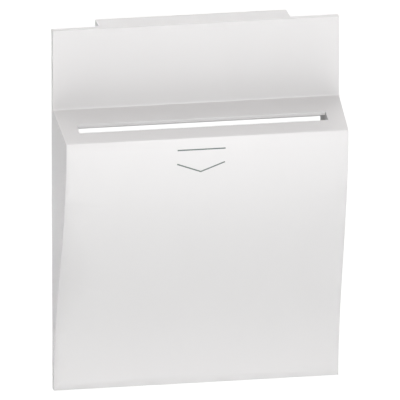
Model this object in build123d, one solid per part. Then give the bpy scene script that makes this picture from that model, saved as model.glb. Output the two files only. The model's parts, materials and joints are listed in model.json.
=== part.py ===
from build123d import *
import math
import os

# Hotel key card switch for a 60 mm wall box.
# Frame: +X to the right, -Y towards the room, +Z up, all sizes in millimetres.
# The origin is midway between the two box screws, on the wall, where the yoke's back rests.
# Round pieces that repeat or stay hidden are drawn with flat sides, which keeps the part light.

# Cover plate
PLATE_W = 67.5
PLATE_H = 88.0
PLATE_T = 2.0
STANDOFF = 9.5
FACE_Y = -STANDOFF
BACK_Y = FACE_Y + PLATE_T

# Card pocket that stands out of the plate: a sloping shelf over a wall that curves back in
FOLD_DROP = 19.2
SHELF_RUN = 15.5
SHELF_DROP = 3.6
WALL_T = 2.0
SIDE_T = 1.8
SIDE_DRAFT = 0.0374
UPPER_HANDLE = 23.0
LOWER_HANDLE = 21.0
LIP_LEAN = 0.2
POCKET_END_Z = -36.5
FOLD_R = 0.35
LIP_R = 0.4
FOLD_Z = PLATE_H / 2 - FOLD_DROP
LIP_Y = FACE_Y - SHELF_RUN
LIP_Z = FOLD_Z - SHELF_DROP

# Card slot in the shelf
SLOT_LEN = 58.5
SLOT_NEAR = 6.95
SLOT_FAR = 10.55
RIM_T = 0.87
RELIEF_SLOPE = 0.28
RELIEF_BACK = 2.0

# The card that the pocket takes, and how it leans back on its way down
CARD_W = 54.0
CARD_PLAY = 0.7
CARD_TOP_Y = FACE_Y - (SLOT_NEAR + SLOT_FAR) / 2
CARD_TOP_Z = 22.6
CARD_TILT = 10.7
CARD_LEAN = math.tan(math.radians(CARD_TILT))
CARD_COS = math.cos(math.radians(CARD_TILT))
CARD_STOP_Z = -30.0

# Ribs and clips inside the cover
RIB_OUT = 30.55
ARM_IN = 29.5
CARD_RIB_X = 21.0
CARD_RIB_T = 1.2
CARD_RIB_GAP = 1.8
CARD_RIB_END_Z = -19.0
CLIP_Z = 12.0
CLIP_W = 6.0
ARM_END_Y = -1.9
BARB_DEPTH = 0.9
BARB_W = 4.0
BARB_Y = (-4.5, -4.4, -3.9, -2.9)

# How near two places are to count as one, and how far a cut runs past what it cuts
TOUCH = 0.05
PAST = 1.0

# Stiffening box behind the top of the plate
REAR_BOX_W = 45.1
REAR_BOX_H = 9.5
REAR_BOX_D = 5.5
REAR_BOX_WALL = 1.6
REAR_RIB_X = 7.5
REAR_RIB_T = 1.2

# Yoke
YOKE_W = 62.0
YOKE_H = 76.0
YOKE_T = 1.2
YOKE_R = 6.0
YOKE_WINDOW = 45.4
BOX_SCREW_PITCH = 60.0
BOX_SCREW_R = 2.1
TAB_X = 28.0
TAB_T = 1.2
TAB_W = 8.0
TAB_END_Y = -6.0
TAB_RELIEF_X = 24.5
TAB_SLOT_W = 5.0
TAB_SLOT_Y = (-4.8, -2.6)

# Switch frame, the moulding that carries everything on the yoke
FRAME_W = 48.0
FRAME_H = 55.0
FRAME_FRONT_Y = -5.5
FRAME_BACK_Y = -YOKE_T
FRAME_WINDOW_X = 18.0
FRAME_WINDOW_Z = 20.5
FRAME_NOTCH_X = 5.5
FRAME_NOTCH_Z = 25.3
FRAME_SCREW_X = 16.0
FRAME_SCREW_Z = 24.6
BOSS_W = 5.6
BOSS_BACK = 1.5
HEAD_SEAT = 2.2
LEVER_NOTCH_Z = -22.6

# Screws: the radius of shank and head, the head's height, and what the holes have over the shank
SHANK_R = 1.25
HEAD_R = 2.3
HEAD_H = 1.7
SMALL_SHANK_R = 0.98
SMALL_HEAD_R = 2.0
SMALL_HEAD_H = 1.5
HOLE_PLAY = 0.05
THREAD_PLAY = 0.02
HEAD_PLAY = 0.2
SHANK_SIDES = 8
HEAD_SIDES = 12
FRAME_SCREW_END_Y = 1.4
GUIDE_SCREW_END_Y = -2.3
HOUSING_SCREW_END_Y = -3.3
PILOT_END = 0.2

# Card guide, the leaning tray that the card slides down
TRAY_SIDE_T = 1.6
TRAY_W = CARD_W + CARD_PLAY + 2 * TRAY_SIDE_T
TRAY_TOP_Z = 16.5
TRAY_BOTTOM_Z = -31.5
TRAY_FLOOR = 0.8
TRAY_FLOOR_T = 1.6
TRAY_RIM = -0.6
LEAD_IN = 3.5
GLIDE_X = (10.0, 22.0)
GLIDE_W = 1.0
GLIDE_H = 0.3
BASE_FRONT_Y = -7.0
BASE_TOP_Z = 15.0
BASE_BOTTOM_Z = -24.0
BASE_WINDOW_TOP_Z = 12.0
GUSSET_T = 1.4
DUST_SLOT_X = 5.0
DUST_SLOT_Z = -25.5
GUIDE_SCREW_X = 21.3
GUIDE_SCREW_Z = 8.0

# Card lever and its pivot
PIVOT_Y = -7.6
PIVOT_Z = -5.0
PIN_R = 1.0
HUB_R = 2.2
LEVER_W = 8.0
ELBOW = (-8.0, -12.6, 0.9)
NOSE = (-11.15, -18.1, 1.05)
HEEL = (-8.6, -20.5, 0.9)
PAD_Y = -6.4
PAD_H = 2.8
LUG_W = 1.4
LUG_Y = (-8.6, -6.0)
LUG_Z = (-12.2, -10.6)
EAR_X = 9.0
EAR_T = 1.6
EAR_R = 2.4
EAR_FIT = 0.02
PIN_FIT = 0.05
HUB_GAP = 0.4
PIN_END = 0.3
WINDOW_X = 4.6
WINDOW_TOP_Z = -11.5
WINDOW_BOTTOM_Z = -23.5

# Return spring round the pin
SPRING_R = 2.6
WIRE_R = 0.3
WIRE_SIDES = 6
SPRING_X = 4.9
SPRING_PITCH = 0.85
SPRING_TURNS = 3
LEG_LEN = 7.5

# Microswitch
MS_LEFT = -12.3
MS_LEN = 27.8
MS_TOP_Y = -3.2
MS_DEPTH = 15.9
MS_BOTTOM_Z = -20.15
MS_WIDTH = 10.3
MS_WALL = 1.3
MS_LID_Z = MS_BOTTOM_Z + MS_WIDTH - MS_WALL
MS_CORNER = 0.8
PLUNGER_X = -2.0
PLUNGER_Z = -15.0
PLUNGER_R = 1.5
PLUNGER_TOP_Y = -5.9
PLUNGER_END_Y = 2.8
PLUNGER_TIP = 0.5
COLLAR_W = 4.6
COLLAR_Y = (-1.6, -0.8)
BLADE_PIVOT_X = 13.0
BLADE_Y = 3.4
BLADE_T = 0.3
BLADE_W = 4.0
BLADE_TIP_X = -9.6
BLADE_EYE_R = 0.8
PIVOT_POST_R = 0.4
RIVET_X = -8.5
RIVET_R = 1.2
RIVET_H = 0.5
REST_CONTACT_Y = 1.95
CARD_CONTACT_Y = 7.25
CONTACT_T = 0.5
TERMINAL_W = 2.0
TERMINAL_PIN_X = (-10.75, -6.65)
TERMINAL_PIN_Y = 16.0
POST_FOOT = 0.6
COMMON_W = 2.0

# Rear housing, circuit board and what stands on it
HOUSING_W = 44.6
HOUSING_BACK_Y = 28.0
HOUSING_WALL = 1.6
HOUSING_R = 1.5
HOUSING_EDGE = 0.8
POST_XZ = 18.9
HEAD_POCKET = 1.9
BOARD_Y = 13.2
BOARD_T = 1.6
BOARD_W = 41.0
BOARD_SCREW_X = 18.6
BOARD_SCREW_Z = 11.0
BOARD_NOTCH_GAP = 0.2
BOARD_SCREW_R = 0.88
BOARD_HEAD_R = 1.7
BOARD_HEAD_H = 1.2
BOARD_SCREW_END_Y = 19.5
BOARD_POST_R = 2.0
BOARD_POST_DEPTH = 20.0

# Blocks on the board: left, right, low and high side, and how far they stand up from the board
RELAY = (-17.4, 1.6, -6.0, 9.5, 15.2)
FILM_CAPACITOR = (3.0, 9.6, -6.5, 11.5, 12.5)
RECTIFIER = (-16.0, -8.0, 10.8, 16.8, 3.2)
CASE_EDGE = 0.5

# Round pieces on the board: their places and sizes
ROUND_SIDES = 16
CAPACITOR_AT = (14.2, -2.6)
CAPACITOR_R = 4.0
CAPACITOR_H = 11.0
CRIMP = (1.8, 2.6, 0.3)
VARISTOR_X = (12.2, 15.8)
VARISTOR_Z = 7.2
VARISTOR_R = 4.4
VARISTOR_LIFT = 6.6
VARISTOR_LEG_PITCH = 4.6
LEG_W = 0.7
RESISTOR_Z = (11.8, 15.4)
RESISTOR_X = (-5.0, 1.6)
RESISTOR_R = 1.05
RESISTOR_CAP = (1.5, 0.3)
RESISTOR_LIFT = 1.4
LEAD_W = 0.5
LEAD_OUT = 1.2

# Terminals
TERMINAL_PITCH = 9.0
TERMINAL_COUNT = 4
BLOCK_W = 36.6
BLOCK_H = 14.6
BLOCK_END_Y = 27.4
BLOCK_MARGIN = 0.3
WIRE_HOLE_R = 2.0
WIRE_Z = -3.4
SCREW_Z = 3.2
SCREW_HOLE_R = 2.6
CLAMP_W = 6.0
CLAMP_H = 12.4
CLAMP_END_Y = 21.9
CLAMP_PLAY = 0.1
CLAMP_WALL = 1.0
TERMINAL_SCREW_R = 1.5
TERMINAL_HEAD_R = 2.4
TERMINAL_SCREW_END_Y = 17.0
HEAD_SUNK = 1.4

# Light guide
GUIDE_BAR_W = 59.6
GUIDE_BAR_FRONT_Y = -9.2
GUIDE_BAR_Z = (17.0, 21.6)
GUIDE_BAR_R = 0.4
FAN_Z = (17.6, 20.4)
FAN_FRONT_X = 14.5
FAN_BACK_X = 11.4
LED_X = 9.0
LED_Z = 19.0
LED_R = 1.4
LED_H = 3.4
FLANGE_R = 1.7
FLANGE_H = 0.9
LED_GAP = 0.3


def block(x0, x1, y0, y1, z0, z1):
    """A box between two corners."""
    middle = Pos((x0 + x1) / 2, (y0 + y1) / 2, (z0 + z1) / 2)
    return middle * Box(abs(x1 - x0), abs(y1 - y0), abs(z1 - z0))


def rod_y(x, z, y0, y1, r, sides=0):
    """A cylinder that runs front to back, or a prism with that many sides."""
    outline = RegularPolygon(r, sides) if sides else Circle(r)
    return Pos(x, y0, z) * extrude(Plane.XZ * outline, amount=y0 - y1)


def rod_x(y, z, x0, x1, r, sides=0):
    """A cylinder that runs left to right, or a prism with that many sides."""
    outline = RegularPolygon(r, sides) if sides else Circle(r)
    return Pos(x0, y, z) * extrude(Plane.YZ * outline, amount=x1 - x0)


def side_face(*edges):
    """A face in the side view, where the sketch's axes are Y and Z."""
    return Plane.YZ * make_face(Curve() + list(edges))


def slab(points, x0, x1):
    """A side-view outline of (y, z) corners, drawn out from x0 to x1."""
    outline = Plane.YZ * make_face(Polyline(*points, close=True))
    return Pos(X=x0) * extrude(outline, amount=x1 - x0)


def card_y(z, offset=0.0):
    """Depth of the plane at this distance behind the middle of a card in the pocket."""
    return CARD_TOP_Y + CARD_LEAN * (CARD_TOP_Z - z) + offset / CARD_COS


def leaning(z0, z1, offset0, offset1, x0, x1):
    """A slab parallel to the card, with level ends."""
    corners = [
        (card_y(z0, offset0), z0),
        (card_y(z1, offset0), z1),
        (card_y(z1, offset1), z1),
        (card_y(z0, offset1), z0),
    ]
    return slab(corners, x0, x1)


def linked(first, second, x0, x1):
    """A link drawn tight round two rounds in the side view, each given as (y, z, radius)."""
    rounds = [Pos(y, z) * Edge.make_circle(r) for y, z, r in (first, second)]
    return Pos(X=x0) * extrude(Plane.YZ * make_hull(rounds), amount=x1 - x0)


def four_corners(x, z):
    """The four places at plus or minus x and z."""
    return [(sx * x, sz * z) for sx in (-1, 1) for sz in (-1, 1)]


def screw(x, z, head_y, tip_y, shank_r, head_r, head_h):
    """A screw along Y, from its head's outer face at head_y to its tip, its thread left plain."""
    under = head_y + math.copysign(head_h, tip_y - head_y)
    head = rod_y(x, z, head_y, under, head_r, HEAD_SIDES)
    return head + rod_y(x, z, under, tip_y, shank_r, SHANK_SIDES)


def screw_hole(x, z, y0, y1, shank_r, play=HOLE_PLAY):
    """The hole that a screw's shank runs through."""
    return rod_y(x, z, y0, y1, shank_r + play, SHANK_SIDES)


def on_board(x0, x1, z0, z1, height):
    """A block that stands on the board's front face."""
    return block(x0, x1, BOARD_Y - height, BOARD_Y, z0, z1)


def edges_at(solid, y, z):
    """The edges that run left to right through this place in the side view."""
    return solid.edges().filter_by(Axis.X).filter_by(
        lambda e: abs(e.center().Y - y) < TOUCH and abs(e.center().Z - z) < TOUCH
    )


def drafted(half_width, z0, z1):
    """The room between side walls that lean in as they come forward from the plate."""
    front = LIP_Y - 1
    inset = SIDE_DRAFT * (FACE_Y - front)
    plan = Polyline(
        (-half_width, BACK_Y + 1),
        (-half_width, FACE_Y),
        (-half_width + inset, front),
        (half_width - inset, front),
        (half_width, FACE_Y),
        (half_width, BACK_Y + 1),
        close=True,
    )
    return Pos(Z=z0) * extrude(make_face(plan), amount=z1 - z0)


def front_wall(shift):
    """The front wall's curve in the side view, moved back by shift."""
    return Bezier(
        (LIP_Y + shift, LIP_Z),
        (LIP_Y + LIP_LEAN + shift, LIP_Z - UPPER_HANDLE),
        (FACE_Y + shift, -PLATE_H / 2 + LOWER_HANDLE),
        (FACE_Y + shift, -PLATE_H / 2),
    )


def shelf_z(y):
    """Height of the shelf's upper face at this depth."""
    return FOLD_Z - SHELF_DROP / SHELF_RUN * (FACE_Y - y)


def pocket_space(back_y):
    """The hollow behind the shelf and the front wall, as far back as back_y."""
    roof_t = WALL_T / math.cos(math.atan2(SHELF_DROP, SHELF_RUN))
    deep_y = BACK_Y + PAST
    inside = side_face(
        Line((LIP_Y + WALL_T, FOLD_Z), (LIP_Y + WALL_T, LIP_Z)),
        front_wall(WALL_T),
        Line((BACK_Y, -PLATE_H / 2), (deep_y, -PLATE_H / 2)),
        Line((deep_y, -PLATE_H / 2), (deep_y, FOLD_Z)),
        Line((deep_y, FOLD_Z), (LIP_Y + WALL_T, FOLD_Z)),
    )
    under_roof = slab(
        [
            (LIP_Y, shelf_z(LIP_Y) - roof_t),
            (back_y, shelf_z(back_y) - roof_t),
            (back_y, POCKET_END_Z),
            (LIP_Y, POCKET_END_Z),
        ],
        -PLATE_W / 2,
        PLATE_W / 2,
    )
    return Pos(X=-PLATE_W / 2) * extrude(inside, amount=PLATE_W) & under_roof


def cover_shell():
    """Plate and pocket, hollow behind, with the fold and the lip rounded."""
    plate = block(-PLATE_W / 2, PLATE_W / 2, FACE_Y, BACK_Y, -PLATE_H / 2, PLATE_H / 2)
    middle_y = (FACE_Y + BACK_Y) / 2
    outline = make_face(
        Curve()
        + [
            Line((FACE_Y, FOLD_Z), (LIP_Y, LIP_Z)),
            front_wall(0),
            Line((FACE_Y, -PLATE_H / 2), (middle_y, -PLATE_H / 2)),
            Line((middle_y, -PLATE_H / 2), (middle_y, FOLD_Z)),
            Line((middle_y, FOLD_Z), (FACE_Y, FOLD_Z)),
        ]
    )
    outline = fillet(outline.vertices().sort_by(Axis.X)[0], LIP_R)
    pocket = Pos(X=-PLATE_W / 2) * extrude(Plane.YZ * outline, amount=PLATE_W)
    pocket &= drafted(PLATE_W / 2, -PLATE_H / 2, FOLD_Z)
    body = fillet(edges_at(plate + pocket, FACE_Y, FOLD_Z), FOLD_R)
    return body - (pocket_space(BACK_Y + PAST) & drafted(PLATE_W / 2 - SIDE_T, -PLATE_H, PLATE_H))


def slot_cut():
    """The card slot, with the shelf thinned behind its rear rim."""
    near_y = FACE_Y - SLOT_NEAR
    far_y = FACE_Y - SLOT_FAR
    rim_z = shelf_z(near_y) - RIM_T
    relief_y = FACE_Y - RELIEF_BACK
    half = SLOT_LEN / 2
    slot = block(-half, half, far_y, near_y, LIP_Z - WALL_T - PAST, FOLD_Z)
    relief = slab(
        [
            (near_y, rim_z),
            (relief_y, rim_z - RELIEF_SLOPE * (relief_y - near_y)),
            (relief_y, LIP_Z - WALL_T - PAST),
            (near_y, LIP_Z - WALL_T - PAST),
        ],
        -half,
        half,
    )
    return slot + relief


def cover_ribs():
    """Side ribs that guide the card's edges, and two ribs that hold it back from the wall."""
    space = pocket_space(FACE_Y)
    x0 = SLOT_LEN / 2
    side = space & block(x0, RIB_OUT, LIP_Y, FACE_Y, TRAY_BOTTOM_Z, FOLD_Z)
    ahead_of_card = slab(
        [
            (card_y(FOLD_Z, -CARD_RIB_GAP), FOLD_Z),
            (card_y(CARD_RIB_END_Z, -CARD_RIB_GAP), CARD_RIB_END_Z),
            (LIP_Y, CARD_RIB_END_Z),
            (LIP_Y, FOLD_Z),
        ],
        CARD_RIB_X - CARD_RIB_T / 2,
        CARD_RIB_X + CARD_RIB_T / 2,
    )
    right = side + (space & ahead_of_card)
    return right + mirror(right, about=Plane.YZ)


def cover_clip(side, z):
    """A spring arm behind a side rib, with a barb for the yoke's tab."""
    barb_in = ARM_IN - BARB_DEPTH
    arm_x = (side * ARM_IN, side * RIB_OUT)
    arm = block(*arm_x, FACE_Y - PAST, ARM_END_Y, z - CLIP_W / 2, z + CLIP_W / 2)
    barb_x = (ARM_IN, barb_in, barb_in, ARM_IN)
    outline = Polyline(*[(side * x, y) for x, y in zip(barb_x, BARB_Y)], close=True)
    return arm + Pos(Z=z - BARB_W / 2) * extrude(make_face(outline), amount=BARB_W)


def rear_box():
    """The open box that stiffens the plate and spaces it from the yoke."""
    w = REAR_BOX_W / 2
    t = REAR_BOX_WALL
    top = PLATE_H / 2
    bottom = top - REAR_BOX_H
    root_y = BACK_Y - TOUCH
    end_y = BACK_Y + REAR_BOX_D
    box = block(-w, w, root_y, end_y, bottom, top)
    box -= block(-w + t, w - t, BACK_Y, end_y, bottom + t, top - t)
    for x in (-REAR_RIB_X, REAR_RIB_X):
        rib_x = (x - REAR_RIB_T / 2, x + REAR_RIB_T / 2)
        box += block(*rib_x, root_y, end_y - PAST, bottom, top)
    return box


def front_cover():
    """The moulded cover: plate, card pocket, slot, ribs, clips and rear box."""
    body = cover_shell() + cover_ribs() - slot_cut()
    for side in (-1, 1):
        for z in (-CLIP_Z, CLIP_Z):
            body += cover_clip(side, z)
    return body + rear_box()


def mounting_yoke():
    """Pressed steel yoke with a window for the switch and four tabs bent forward."""
    sheet = RectangleRounded(YOKE_W, YOKE_H, YOKE_R) - Rectangle(YOKE_WINDOW, YOKE_WINDOW)
    for z in (-BOX_SCREW_PITCH / 2, BOX_SCREW_PITCH / 2):
        sheet -= Pos(0, z) * Circle(BOX_SCREW_R)
    body = extrude(Plane.XZ * sheet, amount=YOKE_T)
    for x, z in four_corners(FRAME_SCREW_X, FRAME_SCREW_Z):
        body -= screw_hole(x, z, -YOKE_T, 0, SHANK_R)
    for side in (-1, 1):
        tab_x = (side * TAB_X, side * (TAB_X + TAB_T))
        for z in (-CLIP_Z, CLIP_Z):
            tab_z = (z - TAB_W / 2, z + TAB_W / 2)
            slot_z = (z - TAB_SLOT_W / 2, z + TAB_SLOT_W / 2)
            body -= block(side * TAB_RELIEF_X, side * TAB_X, -YOKE_T, 0, *tab_z)
            body += block(*tab_x, TAB_END_Y, -YOKE_T, *tab_z) - block(*tab_x, *TAB_SLOT_Y, *slot_z)
    return body


def switch_frame():
    """The moulded frame on the yoke, open in the middle for the lever and the light guide."""
    w = FRAME_W / 2
    h = FRAME_H / 2
    window_x = FRAME_WINDOW_X
    window_z = FRAME_WINDOW_Z
    seat_y = -YOKE_T - HEAD_SEAT
    body = block(-w, w, FRAME_FRONT_Y, FRAME_BACK_Y, -h, h)
    body -= block(-window_x, window_x, FRAME_FRONT_Y, FRAME_BACK_Y, -window_z, window_z)
    body -= block(-FRAME_NOTCH_X, FRAME_NOTCH_X, FRAME_FRONT_Y, FRAME_BACK_Y, LEVER_NOTCH_Z, 0)
    for side in (-1, 1):
        notch_z = (side * FRAME_NOTCH_Z, side * h)
        body -= block(-FRAME_NOTCH_X, FRAME_NOTCH_X, FRAME_FRONT_Y, FRAME_BACK_Y, *notch_z)
        pilot_y = (FRAME_FRONT_Y, GUIDE_SCREW_END_Y + PILOT_END)
        body -= screw_hole(side * GUIDE_SCREW_X, GUIDE_SCREW_Z, *pilot_y, SMALL_SHANK_R, THREAD_PLAY)
    for x, z in four_corners(POST_XZ, POST_XZ):
        boss_x = (x - BOSS_W / 2, x + BOSS_W / 2)
        boss_y = (FRAME_FRONT_Y + BOSS_BACK, FRAME_BACK_Y)
        pilot_y = (HOUSING_SCREW_END_Y - PILOT_END, FRAME_BACK_Y)
        body += block(*boss_x, *boss_y, z - BOSS_W / 2, z + BOSS_W / 2)
        body -= screw_hole(x, z, *pilot_y, SMALL_SHANK_R, THREAD_PLAY)
    for x, z in four_corners(FRAME_SCREW_X, FRAME_SCREW_Z):
        body -= screw_hole(x, z, seat_y, FRAME_BACK_Y, SHANK_R)
        body -= rod_y(x, z, FRAME_FRONT_Y, seat_y, HEAD_R + HEAD_PLAY, HEAD_SIDES)
    return body


def frame_screws():
    """Four screws that hold the switch frame on the yoke."""
    head_y = -YOKE_T - HEAD_SEAT - HEAD_H
    places = four_corners(FRAME_SCREW_X, FRAME_SCREW_Z)
    return [screw(x, z, head_y, FRAME_SCREW_END_Y, SHANK_R, HEAD_R, HEAD_H) for x, z in places]


def card_guide():
    """The leaning tray with its base, gussets, lever window and pivot ears."""
    half = TRAY_W / 2
    floor_back = TRAY_FLOOR + TRAY_FLOOR_T
    lead_z = TRAY_TOP_Z - LEAD_IN
    body = slab(
        [
            (card_y(TRAY_TOP_Z, TRAY_FLOOR + 1), TRAY_TOP_Z),
            (card_y(lead_z, TRAY_FLOOR), lead_z),
            (card_y(TRAY_BOTTOM_Z, TRAY_FLOOR), TRAY_BOTTOM_Z),
            (card_y(TRAY_BOTTOM_Z, floor_back), TRAY_BOTTOM_Z),
            (card_y(TRAY_TOP_Z, floor_back), TRAY_TOP_Z),
        ],
        -half,
        half,
    )
    body += leaning(TRAY_BOTTOM_Z, CARD_STOP_Z, TRAY_RIM, TRAY_FLOOR + TOUCH, -half, half)
    base = block(-FRAME_W / 2, FRAME_W / 2, BASE_FRONT_Y, FRAME_FRONT_Y, BASE_BOTTOM_Z, BASE_TOP_Z)
    base_window_x = (-FRAME_WINDOW_X, FRAME_WINDOW_X)
    body += base - block(*base_window_x, BASE_FRONT_Y, FRAME_FRONT_Y, LEVER_NOTCH_Z, BASE_WINDOW_TOP_Z)
    for side in (-1, 1):
        body += guide_side(side)
    body -= rod_x(PIVOT_Y, PIVOT_Z, -half, half, PIN_R + EAR_FIT)
    body -= leaning(WINDOW_BOTTOM_Z, WINDOW_TOP_Z, 0, floor_back + PAST, -WINDOW_X, WINDOW_X)
    body -= block(-DUST_SLOT_X, DUST_SLOT_X, LIP_Y, FRAME_FRONT_Y, TRAY_BOTTOM_Z, DUST_SLOT_Z)
    for x in (-GUIDE_SCREW_X, GUIDE_SCREW_X):
        body -= rod_y(x, GUIDE_SCREW_Z, LIP_Y, BASE_FRONT_Y, SMALL_HEAD_R + 2 * HEAD_PLAY, HEAD_SIDES)
        body -= screw_hole(x, GUIDE_SCREW_Z, BASE_FRONT_Y, FRAME_FRONT_Y, SMALL_SHANK_R, HEAD_PLAY)
    return body


def guide_side(side):
    """Side wall, glide ribs, gusset and pivot ear on one side of the card guide."""
    half = TRAY_W / 2
    floor_back = TRAY_FLOOR + TRAY_FLOOR_T
    glide_depth = (TRAY_FLOOR - GLIDE_H, TRAY_FLOOR + TOUCH)
    wall_x = sorted((side * half, side * (half - TRAY_SIDE_T)))
    body = leaning(TRAY_BOTTOM_Z, TRAY_TOP_Z, TRAY_RIM, floor_back, *wall_x)
    for x in GLIDE_X:
        glide_x = (side * x - GLIDE_W / 2, side * x + GLIDE_W / 2)
        body += leaning(WINDOW_BOTTOM_Z, TRAY_TOP_Z - LEAD_IN, *glide_depth, *glide_x)
    gusset_x = sorted((side * FRAME_WINDOW_X, side * (FRAME_WINDOW_X + GUSSET_T)))
    body += slab(
        [
            (BASE_FRONT_Y, BASE_TOP_Z),
            (card_y(BASE_TOP_Z, floor_back), BASE_TOP_Z),
            (card_y(BASE_BOTTOM_Z, floor_back), BASE_BOTTOM_Z),
            (BASE_FRONT_Y, BASE_BOTTOM_Z),
        ],
        *gusset_x,
    )
    ear_x = sorted((side * EAR_X, side * (EAR_X + EAR_T)))
    ear_top = PIVOT_Z + EAR_R
    ear_bottom = PIVOT_Z - EAR_R
    body += rod_x(PIVOT_Y, PIVOT_Z, *ear_x, EAR_R)
    return body + slab(
        [
            (card_y(ear_top, floor_back) - TOUCH, ear_top),
            (PIVOT_Y, ear_top),
            (PIVOT_Y, ear_bottom),
            (card_y(ear_bottom, floor_back) - TOUCH, ear_bottom),
        ],
        *ear_x,
    )


def guide_screws():
    """Two screws that hold the card guide on the switch frame."""
    ends = (BASE_FRONT_Y - SMALL_HEAD_H, GUIDE_SCREW_END_Y)
    sizes = (SMALL_SHANK_R, SMALL_HEAD_R, SMALL_HEAD_H)
    return [screw(x, GUIDE_SCREW_Z, *ends, *sizes) for x in (-GUIDE_SCREW_X, GUIDE_SCREW_X)]


def card_lever():
    """The lever that a card pushes back, with a rounded nose and a pad for the plunger."""
    half = LEVER_W / 2
    hub = (PIVOT_Y, PIVOT_Z, HUB_R)
    body = linked(hub, ELBOW, -half, half) + linked(ELBOW, NOSE, -half, half)
    body += linked(NOSE, HEEL, -half, half) + linked(ELBOW, HEEL, -half, half)
    body += block(-half, half, ELBOW[0], PAD_Y, PLUNGER_Z - PAD_H / 2, PLUNGER_Z + PAD_H / 2)
    body += rod_x(PIVOT_Y, PIVOT_Z, -EAR_X + HUB_GAP, half, HUB_R)
    body += block(half - TOUCH, half + LUG_W, *LUG_Y, *LUG_Z)
    return body - rod_x(PIVOT_Y, PIVOT_Z, -EAR_X, EAR_X, PIN_R + PIN_FIT)


def lever_pin():
    """The steel pin through the ears and the lever."""
    half = EAR_X + EAR_T + PIN_END
    return rod_x(PIVOT_Y, PIVOT_Z, -half, half, PIN_R)


def spring_point(turn):
    """A point on the coil; turn 0 is where the lever's leg leaves, straight down at the back."""
    angle = math.radians(360 * turn)
    x = SPRING_X + SPRING_PITCH * turn
    return (x, PIVOT_Y + SPRING_R * math.cos(angle), PIVOT_Z + SPRING_R * math.sin(angle))


def return_spring():
    """Torsion spring: a leg down behind the lever's lug, three and a half turns, a leg up."""
    last = SPRING_TURNS + 0.5 + CARD_TILT / 360
    quarter_turns = round(last * 4)
    step = last / quarter_turns
    start = Vector(*spring_point(0))
    path = [Line(start + Vector(0, 0, -LEG_LEN), start)]
    for k in range(quarter_turns):
        points = [spring_point(step * (k + part)) for part in (0, 0.5, 1)]
        path.append(ThreePointArc(*points))
    end = Vector(*spring_point(last))
    up = Vector(0, -math.sin(math.radians(CARD_TILT)), CARD_COS)
    path.append(Line(end, end + up * (LEG_LEN - 2)))
    wire = Wire(path)
    section = Plane(origin=wire @ 0, z_dir=wire % 0) * RegularPolygon(WIRE_R, WIRE_SIDES)
    return sweep(section, path=wire)


def microswitch_body():
    """The switch's moulded case, open on the side that the lid closes."""
    x1 = MS_LEFT + MS_LEN
    y1 = MS_TOP_Y + MS_DEPTH
    t = MS_WALL
    body = block(MS_LEFT, x1, MS_TOP_Y, y1, MS_BOTTOM_Z, MS_LID_Z)
    body = chamfer(body.edges().filter_by(Axis.Z), MS_CORNER)
    body -= block(MS_LEFT + t, x1 - t, MS_TOP_Y + t, y1 - t, MS_BOTTOM_Z + t, MS_LID_Z)
    body -= rod_y(PLUNGER_X, PLUNGER_Z, MS_TOP_Y, MS_TOP_Y + t, PLUNGER_R + HOLE_PLAY)
    for terminal in switch_terminals():
        body -= terminal
    return body


def microswitch_lid():
    """The lid that closes the microswitch."""
    x1 = MS_LEFT + MS_LEN
    lid = block(MS_LEFT, x1, MS_TOP_Y, MS_TOP_Y + MS_DEPTH, MS_LID_Z, MS_LID_Z + MS_WALL)
    return chamfer(lid.edges().filter_by(Axis.Z), MS_CORNER)


def switch_plunger():
    """The button that the lever presses, with a collar that keeps it in the case."""
    half = COLLAR_W / 2
    body = rod_y(PLUNGER_X, PLUNGER_Z, PLUNGER_TOP_Y, PLUNGER_END_Y, PLUNGER_R)
    body = chamfer(body.edges().sort_by(Axis.Y)[0], PLUNGER_TIP)
    collar_x = (PLUNGER_X - half, PLUNGER_X + half)
    return body + block(*collar_x, *COLLAR_Y, PLUNGER_Z - half, PLUNGER_Z + half)


def contact_blade():
    """The moving contact blade: an eye round its pivot, and rivets on both sides of its tip."""
    low = PLUNGER_Z - BLADE_W / 2
    eye = Pos(BLADE_PIVOT_X, BLADE_Y, low) * extrude(Circle(BLADE_EYE_R), amount=BLADE_W)
    bore = Pos(BLADE_PIVOT_X, BLADE_Y, low) * extrude(Circle(PIVOT_POST_R + PIN_FIT), amount=BLADE_W)
    blade_y = (BLADE_Y - BLADE_T / 2, BLADE_Y + BLADE_T / 2)
    blade = block(BLADE_TIP_X, BLADE_PIVOT_X, *blade_y, low, low + BLADE_W)
    rivet_y = (blade_y[0] - RIVET_H, blade_y[1] + RIVET_H)
    return blade + eye - bore + rod_y(RIVET_X, PLUNGER_Z, *rivet_y, RIVET_R, SHANK_SIDES)


def fixed_contact(face_y, way, pin_x):
    """A fixed contact: arm, rivet towards the blade on the side that way points to, and pin."""
    z = (PLUNGER_Z - TERMINAL_W / 2, PLUNGER_Z + TERMINAL_W / 2)
    back_y = face_y - way * CONTACT_T
    arm_y = sorted((face_y, back_y))
    arm_x = (min(pin_x, RIVET_X - RIVET_R) - CONTACT_T / 2, max(pin_x, RIVET_X + RIVET_R) + CONTACT_T / 2)
    pin = block(pin_x - CONTACT_T / 2, pin_x + CONTACT_T / 2, arm_y[0], TERMINAL_PIN_Y, *z)
    rivet = rod_y(RIVET_X, PLUNGER_Z, face_y, face_y + way * RIVET_H, RIVET_R, SHANK_SIDES)
    return block(*arm_x, *arm_y, *z) + pin + rivet


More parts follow.
